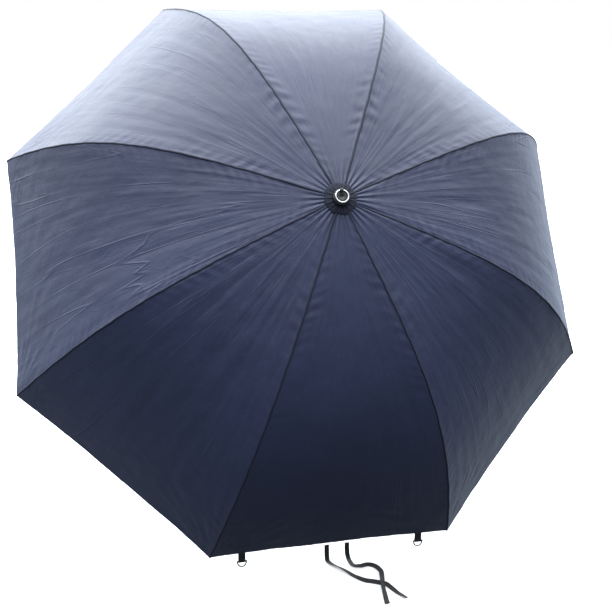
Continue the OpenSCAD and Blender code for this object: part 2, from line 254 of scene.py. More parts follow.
def metal(name, base, rough=0.3, brush=(40, 40, 900), strength=0.08):
    mt, nt, p = new_mat(name)
    p.inputs["Metallic"].default_value = 1.0
    tc = nt.nodes.new("ShaderNodeTexCoord")
    mp = nt.nodes.new("ShaderNodeMapping")
    mp.inputs["Scale"].default_value = brush
    nt.links.new(tc.outputs["Object"], mp.inputs["Vector"])
    g = N(nt, "ShaderNodeTexNoise", Scale=1.0, Detail=4.0, Roughness=0.6)
    nt.links.new(mp.outputs[0], g.inputs["Vector"])
    s = N(nt, "ShaderNodeTexNoise", Scale=9.0, Detail=7.0, Roughness=0.72)
    nt.links.new(tc.outputs["Object"], s.inputs["Vector"])
    nt.links.new(ramp(nt, s.outputs["Fac"], [(0.32, tuple(x * 0.82 for x in base)), (0.65, base)]), p.inputs["Base Color"])
    rr = nt.nodes.new("ShaderNodeMapRange")
    nt.links.new(s.outputs["Fac"], rr.inputs["Value"])
    rr.inputs["To Min"].default_value, rr.inputs["To Max"].default_value = max(0.03, rough - 0.1), rough + 0.14
    nt.links.new(rr.outputs[0], p.inputs["Roughness"])
    bump(nt, p, g.outputs["Fac"], strength, 0.0003)
    return mt


def webbing_material(name, base, pitch=700.0):
    mt, nt, p = new_mat(name)
    tc = nt.nodes.new("ShaderNodeTexCoord")
    a = math_node(nt, "SINE", math_node(nt, "MULTIPLY", attr(nt, "c_lat"), pitch * 6.2832))
    b = math_node(nt, "SINE", math_node(nt, "MULTIPLY", attr(nt, "c_arc"), pitch * 0.6 * 6.2832))
    rib = math_node(nt, "MAXIMUM", a, math_node(nt, "MULTIPLY", b, 0.8))
    s = N(nt, "ShaderNodeTexNoise", Scale=140.0, Detail=5.0, Roughness=0.7)
    nt.links.new(tc.outputs["Object"], s.inputs["Vector"])
    nt.links.new(ramp(nt, s.outputs["Fac"], [(0.3, tuple(x * 0.6 for x in base)), (0.7, tuple(x * 1.6 for x in base))]), p.inputs["Base Color"])
    p.inputs["Roughness"].default_value = 0.78
    p.inputs["Sheen Weight"].default_value = 0.12
    p.inputs["Sheen Roughness"].default_value = 0.5
    b1 = bump(nt, p, rib, 0.45, 0.0004)
    bump(nt, p, s.outputs["Fac"], 0.2, 0.0004, b1)
    return mt


M_COVER = cloth_material("cover_nylon", (0.0115, 0.0175, 0.054), (0.021, 0.031, 0.088), 0.46, 0.35, 0.35, 0.55)
M_PATCH = cloth_material("patch_nylon", (0.004, 0.0055, 0.016), (0.008, 0.011, 0.028), 0.6, 0.10, 0.4, 0.25)
M_SEAM = cloth_material("seam_nylon", (0.005, 0.0075, 0.022), (0.011, 0.015, 0.040), 0.6, 0.15, 0.4, 0.3)
M_THREAD = plastic("thread_navy", (0.012, 0.014, 0.03), 0.7, 1500, 0.3, 0.0)
M_BLACK = plastic("moulded_black", (0.018, 0.018, 0.020), 0.48)
M_CAP = plastic("cap_black", (0.012, 0.012, 0.014), 0.38, 1100, 0.08)
M_DRING = plastic("dring_black", (0.012, 0.012, 0.013), 0.33, 1200, 0.06)
M_WEB = webbing_material("tape_black", (0.011, 0.011, 0.012))
M_TUBE = metal("tube_satin", (0.74, 0.75, 0.77), 0.34)
M_ROD = metal("rod_steel", (0.62, 0.63, 0.66), 0.30, (500, 500, 500))
M_STEEL = metal("zinc_steel", (0.56, 0.57, 0.59), 0.38, (300, 300, 300), 0.12)
M_CHROME = metal("ring_plated", (0.86, 0.87, 0.89), 0.10, (400, 400, 400), 0.02)


# ------------------------------------------------------------------ mesh helpers
def make(name, verts, faces, mat, body=None, smooth=True):
    me = bpy.data.meshes.new(name)
    me.from_pydata([tuple(map(float, v)) for v in verts], [], [tuple(map(int, f)) for f in faces])
    me.validate()
    me.update()
    ob = bpy.data.objects.new(name, me)
    col.objects.link(ob)
    me.materials.append(mat)
    if smooth:
        me.polygons.foreach_set("use_smooth", [True] * len(me.polygons))
    if body:
        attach(ob, body)
    return ob


def put_attr(ob, **k):
    for n, v in k.items():
        a = ob.data.attributes.new(n, "FLOAT", "POINT")
        a.data.foreach_set("value", np.asarray(v, np.float32))


def frames(path):
    """tangents, sides and ups along a path, turned as little as possible"""
    path = np.asarray(path, float)
    t = np.gradient(path, axis=0)
    t /= np.linalg.norm(t, axis=1, keepdims=True)
    ref = np.array([0, 0, 1.0]) if abs(t[0][2]) < 0.9 else np.array([0, 1.0, 0])
    s = [np.cross(t[0], ref)]
    s[0] /= np.linalg.norm(s[0])
    for k in range(1, len(path)):
        v = s[-1] - t[k] * np.dot(s[-1], t[k])
        s.append(v / np.linalg.norm(v))
    s = np.array(s)
    return t, s, np.cross(s, t)


def tube(path, radius, sides=16, closed=False, cap=True):
    path = np.asarray(path, float)
    n = len(path)
    if closed:
        ext = np.vstack([path[-1], path, path[0]])
        t = (ext[2:] - ext[:-2])
        t /= np.linalg.norm(t, axis=1, keepdims=True)
        nrm = np.cross(path[1] - path[0], path[n // 3] - path[0])
        nrm /= np.linalg.norm(nrm)
        s = np.cross(t, nrm)
        u = np.tile(nrm, (n, 1))
    else:
        t, s, u = frames(path)
    rad = np.broadcast_to(np.asarray(radius, float), (n,))
    an = np.linspace(0, 2 * math.pi, sides, endpoint=False)
    v = (path[:, None] + rad[:, None, None] * (np.cos(an)[None, :, None] * s[:, None] + np.sin(an)[None, :, None] * u[:, None])).reshape(-1, 3)
    f = []
    for k in range(n if closed else n - 1):
        k2 = (k + 1) % n
        for a in range(sides):
            b = (a + 1) % sides
            f.append((k * sides + a, k * sides + b, k2 * sides + b, k2 * sides + a))
    v = list(v)
    if cap and not closed:
        f.append(tuple(range(sides))[::-1])
        f.append(tuple((n - 1) * sides + a for a in range(sides)))
    return v, f


def lathe(profile, sides=64):
    """closed profile of (radius, z) pairs round the z axis"""
    n = len(profile)
    v, f = [], []
    for k in range(sides):
        a = 2 * math.pi * k / sides
        for r, z in profile:
            v.append((r * math.cos(a), r * math.sin(a), z))
    for k in range(sides):
        k2 = (k + 1) % sides
        for j in range(n):
            j2 = (j + 1) % n
            f.append((k * n + j, k2 * n + j, k2 * n + j2, k * n + j2))
    return v, f


def xf(verts, mat):
    return [tuple(mat @ Vector(v)) for v in verts]


def smooth_path(pts, per=8):
    """Catmull-Rom through the points"""
    p = np.asarray(pts, float)
    p = np.vstack([2 * p[0] - p[1], p, 2 * p[-1] - p[-2]])
    out = []
    for k in range(1, len(p) - 2):
        for j in range(per):
            t = j / per
            a, b, c, d = p[k - 1], p[k], p[k + 1], p[k + 2]
            out.append(0.5 * ((2 * b) + (c - a) * t + (2 * a - 5 * b + 4 * c - d) * t * t + (3 * b - a - 3 * c + d) * t ** 3))
    out.append(p[-2])
    return np.array(out)


def resample(p, n):
    d = np.concatenate([[0], np.cumsum(np.linalg.norm(np.diff(p, axis=0), axis=1))])
    q = np.linspace(0, d[-1], n)
    return np.stack([np.interp(q, d, p[:, k]) for k in range(3)], 1), d[-1]


# ------------------------------------------------------------------ ties: flat tapes on the floor
TIE_L = [(-16, -1114.7, 50.5), (-16, -1115, 42), (-16, -1115.5, 30), (-16, -1117, 18), (-16, -1122, 8), (-16, -1132, 2.6), (-4, -1160, 1.6), (20, -1194, 1.6), (41, -1232, 1.6), (64, -1266, 1.6), (88, -1281, 1.6), (109, -1294, 1.5), (122, -1302, 1.5), (132, -1326, 1.6), (144, -1356, 1.8), (158, -1386, 2.0)]
TIE_R = [(50, -1114.7, 50.5), (50, -1115, 42), (50, -1115.5, 30), (50, -1118, 18), (50.5, -1124, 8), (51, -1136, 3.0), (52, -1160, 2.4), (58, -1177, 2.6), (76, -1185, 2.8), (98, -1183, 2.6), (117, -1195, 2.4), (128, -1226, 2.6), (122, -1260, 3.2), (113, -1294, 4.2), (107, -1322, 3.2), (102, -1354, 2.2), (94, -1403, 2.0)]


def tape(name, pts, body, joint_anchor, node, roll):
    p = smooth_path(np.array(pts) / 1000, 10)
    p, length = resample(p, 140)
    n = len(p)
    t = np.gradient(p, axis=0)
    t /= np.linalg.norm(t, axis=1, keepdims=True)
    arc = np.linspace(0, length, n)
    side = np.zeros((n, 3))
    for k in range(n):
        flat = np.cross(t[k], (0, 0, 1.0))
        hang = np.array([1.0, 0, 0])
        w = min(1, max(0, (p[k][2] - 0.010) / 0.022))
        s = flat / (np.linalg.norm(flat) + 1e-9) * (1 - w) + hang * w * (1 if flat[0] >= 0 or w > .99 else -1)
        s -= t[k] * np.dot(s, t[k])
        s /= np.linalg.norm(s)
        if k and np.dot(s, side[k - 1]) < 0:
            s = -s
        side[k] = s
    for _ in range(6):
        side[1:-1] = (side[:-2] + side[1:-1] + side[2:]) / 3
    side /= np.linalg.norm(side, axis=1, keepdims=True)
    up = np.cross(side, t)
    nw, th, W = 8, 0.0009, 0.015
    v, lat, ar = [], [], []
    for k in range(n):
        a = roll(arc[k] / length)
        sd = side[k] * math.cos(a) + up[k] * math.sin(a)
        un = up[k] * math.cos(a) - side[k] * math.sin(a)
        lift = abs(math.sin(a)) * W / 2
        if p[k][2] > 0.012:
            lift = 0
        for layer in (1, -1):
            for j in range(nw + 1):
                x = (j / nw - 0.5) * W
                bow = 0.0006 * (1 - (2 * j / nw - 1) ** 2)
                q = p[k] + sd * x + un * (layer * th / 2 + bow) + np.array([0, 0, lift])
                q[2] = max(q[2], 0.0003)
                v.append(q)
                lat.append(x)
                ar.append(arc[k])
    f = []
    m_ = nw + 1
    row = 2 * m_
    for k in range(n - 1):
        a0, b0 = k * row, (k + 1) * row
        for j in range(nw):
            f.append((a0 + j, b0 + j, b0 + j + 1, a0 + j + 1))
            f.append((a0 + m_ + j + 1, b0 + m_ + j + 1, b0 + m_ + j, a0 + m_ + j))
        f.append((a0, a0 + m_, b0 + m_, b0))
        f.append((a0 + nw, b0 + nw, b0 + m_ + nw, a0 + m_ + nw))
    for e, s_ in ((0, 1), (n - 1, -1)):
        a0 = e * row
        for j in range(nw):
            q = (a0 + j, a0 + j + 1, a0 + m_ + j + 1, a0 + m_ + j)
            f.append(q if s_ > 0 else q[::-1])
    ob = make(name, v, f, M_WEB)
    put_attr(ob, c_lat=lat, c_arc=ar)
    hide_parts(node)
    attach(ob, body)
    return ob


def ss(a, b, x):
    x = min(1, max(0, (x - a) / (b - a)))
    return x * x * (3 - 2 * x)


tie_l = tape("tie_tape_left", TIE_L, "tie_left", None, "tie_left", lambda u: 0.5 * math.sin(7 * u) * ss(.15, .3, u))
tie_r = tape("tie_tape_right", TIE_R, "tie_right", None, "tie_right", lambda u: 0.45 * math.sin(9 * u + 1) * ss(.15, .3, u))

# ------------------------------------------------------------------ the cover: eight gores on one continuous field
NV, NW, VJ = 132, 34, 0.45


def tj(w):
    return np.interp(J2[0] / (1 - 0.14645 * w), RAD, TT)


T0 = 0.0083
vv = np.linspace(0, 1, NV + 1)
kJ = int(round(VJ * NV))
ww = np.linspace(0, 1, NW + 1)
tgrid = np.zeros((NV + 1, NW + 1))
for j, w in enumerate(ww):
    a = tj(w)
    tgrid[:kJ + 1, j] = T0 + (a - T0) * vv[:kJ + 1] / vv[kJ]
    tgrid[kJ:, j] = a + (1 - a) * (vv[kJ:] - vv[kJ]) / (1 - vv[kJ])


def fbm(p, sc, oct_=4, seed=0.0):
    return noise.fractal(Vector((p[0] * sc + seed, p[1] * sc - seed, p[2] * sc + 2 * seed)), 0.7, 2.1, oct_, noise_basis="PERLIN_ORIGINAL")


rng = np.random.RandomState(7)
CREASES = []
for g in range(8):
    cs = []
    for _ in range(7):
        cs.append((rng.uniform(-0.85, 0.85), rng.uniform(-0.10, 0.10), rng.uniform(0.009, 0.016), rng.uniform(0.0005, 0.0012) * rng.choice([-1, 1]), rng.uniform(0.0, 0.25), rng.uniform(0.6, 1.05)))
    CREASES.append(cs)


def field(g, u, arc, r, p):
    """height of the cloth off the ruled gore: u is -1 at rib g, 1 at rib g+1; arc and r along the rib; p is the point"""
    half = 0.3827 * r
    d = (1 - abs(u)) * half                     # distance to the nearer seam
    s = arc / ARC[-1]
    h = 0.0
    # cloth hangs a little slack between the ribs, tight near the crown
    h -= 0.010 * (1 - u * u) * ss(0.10, 0.7, s) * (0.6 + 0.4 * math.sin(2.1 * g + 1))
    # puckers drawn across the seams
    side = 1 if u > 0 else -1
    rib_id = (g + (1 if u > 0 else 0)) % 8
    ph = 0.7 * side + rib_id * 1.9
    amp = 0.0006 * (0.35 + 0.65 * (0.5 + 0.5 * math.sin(arc * 17 + 3 * rib_id))) * math.exp(-((d - 0.014) / 0.024) ** 2) * ss(0, 0.006, d)
    h += amp * math.sin(arc * 6.2832 / 0.036 + ph + d * 55 + 3.0 * fbm((arc * 8, rib_id, side), 1.0, 2, 7.7)) * ss(0.03, 0.12, s)
    # knots of puckers near the crown
    bunch = math.exp(-((s - 0.27) / 0.10) ** 2) * (1.0 if rib_id in (1, 2) else 0.45)
    h += bunch * 0.0016 * (0.4 + 1.2 * abs(fbm((arc * 9, rib_id, side), 1.0, 2, 4.4))) * math.exp(-((d - 0.020) / 0.020) ** 2) * ss(0, 0.008, d) * math.sin(arc * 6.2832 / 0.048 + 2 * ph)
    # long fold creases from folding the cover up
    for u0, slope, wd, a, s0, s1 in CREASES[g]:
        uc = u0 + slope * (s - 0.5)
        x = (u - uc) * half
        if abs(x) < 5 * wd:
            h += a * math.exp(-(x / wd) ** 2) * ss(s0, s0 + 0.12, s) * (1 - ss(s1 - 0.2, s1, s)) * (0.6 + 0.4 * math.sin(arc * 21 + u0 * 30))
    # wrinkles that fan in from the rim corners
    e = ARC[-1] - arc
    y = d
    rho = math.hypot(e, y)
    if rho < 0.34:
        an = math.atan2(y, e + 1e-4)
        h += 0.0010 * math.sin(an * 23 + rib_id * 2.3 + 1.5 * math.sin(an * 9 + g)) * (0.6 + 0.4 * math.sin(rho * 40 + g)) * ss(0.02, 0.09, rho) * (1 - ss(0.14, 0.34, rho)) * ss(0, 0.15, an)
    # gathers just round the crown patch
    an = u * 22.5 + 45 * g
    h += 0.0013 * math.sin(math.radians(an) * 34) * (1 - ss(0.035, 0.17, r)) * ss(0.01, 0.03, r) * (1 - abs(u) ** 8)
    # crinkle
    q = ss(0, 0.010, d)
    h += q * 0.0017 * fbm(p, 4.5, 3, 3.1)
    h += q * 0.00030 * fbm(p, 20, 3, 9.7)
    # streaks that run with the folds, down the gore
    h += q * 0.00075 * fbm((u * 2.6 + 3 * g, arc * 1.3, 0.0), 5.0, 4, 5.3) * ss(0.04, 0.3, s)
    # weft waves near the rim
    h += q * 0.0006 * fbm((arc * 6.0, u * 0.8 + g, 0.0), 7.0, 3, 8.3) * ss(0.62, 0.9, s)
    return h


def gore(g):
    """vertex grid of a whole gore from rib index g (0 is rib 8's neighbour on +azimuth) in the crown frame"""
    a0 = math.radians(22.5 + 45 * g)
    a1 = math.radians(67.5 + 45 * g)
    e0 = np.array([math.cos(a0), math.sin(a0)])
    e1 = np.array([math.cos(a1), math.sin(a1)])
    mid = (e0 + e1) / 2
    us = np.concatenate([-1 + ww, 1 - ww[::-1][1:]])
    # columns: 0..NW from rib g to the middle, NW..2NW on to the next rib
    cols = np.concatenate([np.arange(NW + 1), np.arange(NW)[::-1]])
    P = np.zeros((NV + 1, 2 * NW + 1, 3))
    Tm = tgrid[:, cols]
    B = bez(Tm)
    A = np.interp(Tm, TT, ARC)
    frac = (us + 1) / 2
    P[..., 0] = B[..., 0] * ((1 - frac) * e0[0] + frac * e1[0])
    P[..., 1] = B[..., 0] * ((1 - frac) * e0[1] + frac * e1[1])
    P[..., 2] = B[..., 1]
    # normals of the ruled surface
    nb = bnorm(Tm)
    md = mid / np.linalg.norm(mid)
    nr, nz = nb[..., 0] / math.cos(math.radians(22.5)), nb[..., 1]
    ln = np.sqrt(nr ** 2 + nz ** 2)
    Nn = np.stack([nr / ln * md[0], nr / ln * md[1], nz / ln], -1)
    out = P.copy()
    for k in range(NV + 1):
        for j in range(2 * NW + 1):
            u = us[j]
            h = field(g, u, A[k, j], B[k, j, 0], P[k, j])
            out[k, j] = P[k, j] + Nn[k, j] * h
            # hem: drawn in a little between the corners
            s = A[k, j] / ARC[-1]
            if s > 0.8:
                out[k, j] -= 0.006 * (1 - u * u) * ss(0.8, 1, s) * np.array([md[0] * 0.5, md[1] * 0.5, -0.85]) * (1 + 0.3 * math.sin(5 * u + g))
    return out, A, us, B[..., 0], Nn


def rib_at(g):
    """rib number whose azimuth is 22.5 + 45 g degrees: psi(i) = 112.5 - 45 (i - 1)"""
    return ((2 - g) % 8) + 1


def panel_piece(gi, name, P, A, us, Rr, Nn, k0, k1, j0, j1, rib, outer, vn):
    js = range(j0, j1 + 1)
    ks = list(range(k0, k1 + 1))
    rows, lat, arc, hemd, norms = [], [], [], [], []
    for k in ks:
        for j in js:
            rows.append(P[k, j])
            lat.append((us[j]) * 0.3827 * Rr[k, j])
            arc.append(A[k, j])
            hemd.append(ARC[-1] - A[k, j])
            norms.append(vn[k, j])
    nj = len(js)
    nk = len(ks)
    f = []
    for k in range(nk - 1):
        for j in range(nj - 1):
            f.append((k * nj + j, (k + 1) * nj + j, (k + 1) * nj + j + 1, k * nj + j + 1))
    if outer:
        # turned hem: over the edge and back under for 12 mm
        base = len(rows)
        d_in = (P[NV - 1] - P[NV])
        d_in = d_in / np.linalg.norm(d_in, axis=-1, keepdims=True)
        turn = [(-0.0006, 0.0005), (-0.0006, 0.0014), (0.0008, 0.0019), (0.0065, 0.0019), (0.0120, 0.0018)]
        for (inn, dn) in turn:
            for j in js:
                rows.append(P[NV, j] + d_in[j] * inn - Nn[NV, j] * dn)
                lat.append(us[j] * 0.3827 * Rr[NV, j])
                arc.append(ARC[-1] + 0.002)
                hemd.append(0.0)
                norms.append(-vn[NV, j] if inn > 0 else -d_in[j])
        prev = (nk - 1) * nj
        for q in range(len(turn)):
            cur = base + q * nj
            for j in range(nj - 1):
                f.append((prev + j, cur + j, cur + j + 1, prev + j + 1))
            prev = cur
    pts = to_row(np.array(rows))
    ob = make(name, pts, f, M_COVER)
    put_attr(ob, c_lat=lat, c_arc=arc, c_hem=hemd, c_u=[us[j] + 2.7 * (gi + 1) for _ in range(len(lat) // nj) for j in js])
    nn = np.array(norms) @ M3.T
    ob.data.normals_split_custom_set_from_vertices([tuple(map(float, v)) for v in nn])
    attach(ob, ("outer_%d" if outer else "inner_%d") % rib)
    return ob


for g in range(8):
    P, A, us, Rr, Nn = gore(g)
    # smooth normals over the whole gore, so that its four pieces shade as one sheet
    du = np.gradient(P, axis=1)
    dv = np.gradient(P, axis=0)
    vn = np.cross(dv, du)
    vn /= np.linalg.norm(vn, axis=-1, keepdims=True) + 1e-12
    if np.mean(np.sum(vn * Nn, -1)) < 0:
        vn = -vn
    ra, rb = rib_at(g), rib_at((g + 1) % 8)
    for half, (j0, j1, rib) in (("a", (0, NW, ra)), ("b", (NW, 2 * NW, rb))):
        ang = psi(rib)
        for outer, k0, k1 in ((False, 0, kJ), (True, kJ, NV)):
            nm = "cover_%d%s_%s" % (g + 1, half, "outer" if outer else "inner")
            ob = panel_piece(g, nm, P, A, us, Rr, Nn, k0, k1, j0, j1, rib, outer, vn)
            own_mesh(ob)
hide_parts("canopy")

# ------------------------------------------------------------------ seams over the ribs: a felled strip
for i in range(1, 9):
    ang = psi(i)
    er = np.array([math.cos(ang), math.sin(ang), 0])
    et = np.array([-math.sin(ang), math.cos(ang), 0])
    for outer, (ta, tb) in ((False, (0.028, TJ)), (True, (TJ, 1.0))):
        n = 90
        ts = np.linspace(ta, tb, n)
        b = bez(ts)
        nb = bnorm(ts)
        arc = np.interp(ts, TT, ARC)
        v, lat, ar = [], [], []
        prof = [(-3.8, -0.8), (-3.5, 0.3), (-1.8, 1.0), (0, 1.5), (1.8, 1.0), (3.5, 0.3), (3.8, -0.8)]
        for k in range(n):
            wob = 0.0005 * math.sin(arc[k] * 60 + i) + 0.0003 * math.sin(arc[k] * 173)
            slope = nb[k]
            for x, h in prof:
                x, h = x / 1000, h / 1000
                drop = abs(x) * 0.4142 * slope[0]
                c = er * b[k, 0] + np.array([0, 0, b[k, 1]])
                nvec = er * slope[0] + np.array([0, 0, slope[1]])
                v.append(c + et * (x + wob) + nvec * (h - drop))
                lat.append(x)
                ar.append(arc[k])
        m_ = len(prof)
        f = [(k * m_ + j, (k + 1) * m_ + j, (k + 1) * m_ + j + 1, k * m_ + j + 1) for k in range(n - 1) for j in range(m_ - 1)]
        st = []
        ob = make("rib_seam_%d_%s" % (i, "outer" if outer else "inner"), to_row(np.array(v)), f, M_SEAM)
        put_attr(ob, c_lat=lat, c_arc=ar)
        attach(ob, ("outer_%d" if outer else "inner_%d") % i)

# ------------------------------------------------------------------ crown: gathered patch, cap, lug, ring
v, f, lat, ar = [], [], [], []
NA, NR = 192, 16
for k in range(NR + 1):
    q = k / NR
    for a in range(NA):
        an = 2 * math.pi * a / NA
        oct_ = math.cos(math.radians(22.5)) / math.cos((an + math.radians(0)) % math.radians(45) - math.radians(22.5))
        oct_ = 0.5 + 0.5 * oct_ / math.cos(math.radians(11))
        ruffle = math.sin(an * 17 + 0.6 * math.sin(an * 3)) * 0.6 + math.sin(an * 31 + 1.2) * 0.4
        r = 0.0135 + (0.0475 - 0.0135) * q
        r *= 1 + q * q * (0.035 * math.sin(an * 8) + 0.018 * ruffle)
        t = np.interp(r, RAD, TT)
        z = bez(t)[1] + 0.0022 + 0.0011 * ruffle * math.sin(math.pi * min(1, q * 1.0 + 0.1)) - 0.0012 * q ** 6 + 0.0009 * (1 - q)
        v.append((r * math.cos(an), r * math.sin(an), z))
        lat.append(r * math.cos(an))
        ar.append(r * math.sin(an))
for k in range(NR):
    for a in range(NA):
        b = (a + 1) % NA
        f.append((k * NA + a, (k + 1) * NA + a, (k + 1) * NA + b, k * NA + b))
base = len(v)
for a in range(NA):
    x, y, z = v[NR * NA + a]
    v.append((x * 0.985, y * 0.985, z - 0.0016))
    lat.append(x)
    ar.append(y)
for a in range(NA):
    b = (a + 1) % NA
    f.append((NR * NA + a, base + a, base + b, NR * NA + b))
patch = make("crown_patch_gathered", xf(v, CROWN), f, M_PATCH, "head")
put_attr(patch, c_lat=lat, c_arc=ar)
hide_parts("crown_patch")

prof = [(0.0005, 0.0138), (0.012, 0.0138), (0.0195, 0.0134), (0.0222, 0.0126), (0.0240, 0.0108), (0.0248, 0.0085), (0.0250, 0.0060), (0.0249, 0.0036), (0.0240, 0.0022), (0.0228, 0.0015), (0.0130, 0.0015), (0.0112, 0.0020), (0.0112, 0.0076), (0.0005, 0.0078)]
v, f = lathe(prof, 96)
# fine grip flutes round the edge
v = [((x * (1 - 0.012 * (0.5 + 0.5 * math.cos(math.atan2(y, x) * 36)) * (1 if 0.003 < z < 0.0115 and math.hypot(x, y) > 0.0235 else 0)), y * (1 - 0.012 * (0.5 + 0.5 * math.cos(math.atan2(y, x) * 36)) * (1 if 0.003 < z < 0.0115 and math.hypot(x, y) > 0.0235 else 0)), z)) for x, y, z in v]
cap = make("crown_cap_moulded", xf(v, CROWN), f, M_CAP, "head")
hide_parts("crown_cap")

n = 120
pts = [CROWN @ Vector((0.018 * math.cos(a), 0.018 * math.sin(a), 0.0162)) for a in np.linspace(0, 2 * math.pi, n, endpoint=False)]
v, f = tube(pts, 0.002, 20, closed=True)
ring = make("crown_ring", v, f, M_CHROME, "top_ring")
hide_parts("top_ring")


def finish_cad(name, mat, bevel=0.0006):
    ob = nodes[name]
    ob.data.materials.clear()
    ob.data.materials.append(mat)
    if bevel:
        md = ob.modifiers.new("soften", "BEVEL")
        md.width = bevel
        md.segments = 2
        md.limit_method = "ANGLE"
        md.angle_limit = math.radians(40)
        md.harden_normals = False


for nme in ("ring_lug", "runner", "notch_hub", "knuckle_fork", "knuckle_tongue", "height_collar"):
    finish_cad(nme, M_BLACK, 0.0005)
for nme in ("height_screw", "tilt_knob", "runner_screw"):
    finish_cad(nme, M_BLACK, 0.0008)
for nme in ("lower_tube", "mid_tube", "shaft"):
    finish_cad(nme, M_TUBE, 0.0)
for nme in ("ground_spike", "tilt_bolt", "notch_wire"):
    finish_cad(nme, M_STEEL, 0.0)

# ------------------------------------------------------------------ ribs, stretchers and rib ends as smooth drawn rods
def rib_frame(i):
    ang = psi(i)
    return CROWN @ Matrix.Rotation(ang, 4, "Z")


def plate2(a, b, h, t, y):
    """a flat bar from a to b in the rib plane, rounded at its ends"""
    a, b = np.array(a), np.array(b)
    d = (b - a) / np.linalg.norm(b - a)
    s = np.array([-d[1], d[0]])
    out = []
    for c, sg in ((a, -1), (b, 1)):
        for k in range(13):
            an = math.pi * k / 12
            q = c + sg * (math.sin(an) * d * h / 2) + (math.cos(an) * s * h / 2) * sg
            out.append(q)
    m_ = len(out)
    v = [(q[0], y - t / 2, q[1]) for q in out] + [(q[0], y + t / 2, q[1]) for q in out]
    f = [tuple(range(m_)), tuple(range(2 * m_ - 1, m_ - 1, -1))]
    for k in range(m_):
        k2 = (k + 1) % m_
        f.append((k, m_ + k, m_ + k2, k2))
    return v, f


def pin2(c, r, y0, y1, sides=24):
    v, f = [], []
    for y in (y0, y1):
        for k in range(sides):
            a = 2 * math.pi * k / sides
            v.append((c[0] + r * math.cos(a), y, c[1] + r * math.sin(a)))
    for k in range(sides):
        k2 = (k + 1) % sides
        f.append((k, sides + k, sides + k2, k2))
    f.append(tuple(range(sides)))
    f.append(tuple(range(2 * sides - 1, sides - 1, -1)))
    return v, f


def join(parts):
    V, F = [], []
    for v, f in parts:
        o = len(V)
        V += list(v)
        F += [tuple(o + x for x in q) for q in f]
    return V, F


def rod2(pts, r, sides=14):
    p = np.array([(q[0], 0, q[1]) for q in pts])
    return tube(p, r, sides)


def add(name, parts, i, mat, body, rep):
    v, f = join(parts)
    ob = make(name, xf(v, rib_frame(i)), f, mat, body)
    bm = bmesh.new()
    bm.from_mesh(ob.data)
    bmesh.ops.recalc_face_normals(bm, faces=bm.faces)
    bm.to_mesh(ob.data)
    bm.free()
    for p_ in ob.data.polygons:
        p_.use_smooth = True
    md = ob.modifiers.new("soften", "BEVEL")
    md.width, md.segments, md.limit_method, md.angle_limit = 0.0003, 2, "ANGLE", math.radians(50)
    es = ob.modifiers.new("crisp", "EDGE_SPLIT")
    es.split_angle = math.radians(38)
    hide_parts(rep)
    return ob


off = lambda t: bez(t) - 0.0065 * bnorm(t)
for i in range(1, 9):
    t_in = np.linspace(0.05, TJ, 22)
    path = [off(t) for t in t_in]
    u0 = (path[0] - PIV2) / np.linalg.norm(path[0] - PIV2)
    uj = (J2 - path[-3]) / np.linalg.norm(J2 - path[-3])
    rod_pts = [PIV2 + 0.019 * u0] + path[:-2] + [J2 - 0.0135 * uj]
    rod_pts = [q for q in rod_pts if q[0] <= J2[0] - 0.0133]
    add("rib_inner_rod_%d" % i, [rod2(rod_pts, 0.0025), plate2(PIV2, PIV2 + 0.021 * u0, 0.0075, 0.003, 0), plate2(J2 - 0.015 * uj, J2, 0.0075, 0.003, 0), pin2(J2, 0.0015, -0.0058, 0.0058), pin2(J2, 0.0024, 0.0051, 0.0059), pin2(J2, 0.0024, -0.0059, -0.0051)], i, M_ROD, "inner_%d" % i, "rib_inner_%d" % i)
    t_out = np.linspace(TJ + 0.03, 1.0, 34)
    path = [off(t) for t in t_out]
    uo = (path[2] - J2) / np.linalg.norm(path[2] - J2)
    rod_pts = [J2 + 0.015 * uo] + [q for q in path if np.linalg.norm(q - J2) > 0.02]
    tip_d = (path[-1] - path[-2]) / np.linalg.norm(path[-1] - path[-2])
    add("rib_outer_rod_%d" % i, [rod2(rod_pts, 0.0025), plate2(J2, J2 + 0.018 * uo, 0.008, 0.0015, 0.00245), plate2(J2, J2 + 0.018 * uo, 0.008, 0.0015, -0.00245), plate2(J2 + 0.013 * uo, J2 + 0.020 * uo, 0.006, 0.0064, 0)], i, M_ROD, "outer_%d" % i, "rib_outer_%d" % i)
    a = path[-1] - 0.016 * tip_d
    tip_prof = [(0.0, 0.0030), (0.001, 0.0035), (0.004, 0.0036), (0.006, 0.0033), (0.008, 0.0036), (0.014, 0.0036), (0.018, 0.0038), (0.0205, 0.0034), (0.0220, 0.0022), (0.0226, 0.0008)]
    tp = np.array([(a + d * tip_d)[0] for d, _ in tip_prof]), np.array([(a + d * tip_d)[1] for d, _ in tip_prof])
    v, f = tube(np.stack([tp[0], np.zeros(len(tip_prof)), tp[1]], 1), np.array([r for _, r in tip_prof]), 24)
    add("rib_end_%d" % i, [(v, f)], i, M_BLACK, "outer_%d" % i, "rib_tip_%d" % i)
    us_ = (Q2 - J2) / np.linalg.norm(Q2 - J2)
    add("stretcher_rod_%d" % i, [rod2([J2 + 0.042 * us_ + (Q2 - J2 - 0.1 * us_) * k / 8 for k in range(9)], 0.0025), plate2(J2, J2 + 0.042 * us_, 0.008, 0.0015, 0.00415), plate2(J2, J2 + 0.042 * us_, 0.008, 0.0015, -0.00415), plate2(J2 + 0.038 * us_, J2 + 0.046 * us_, 0.006, 0.0098, 0), plate2(Q2 - 0.06 * us_, Q2, 0.0068, 0.003, 0)], i, M_ROD, "strut_%d" % i, "stretcher_%d" % i)

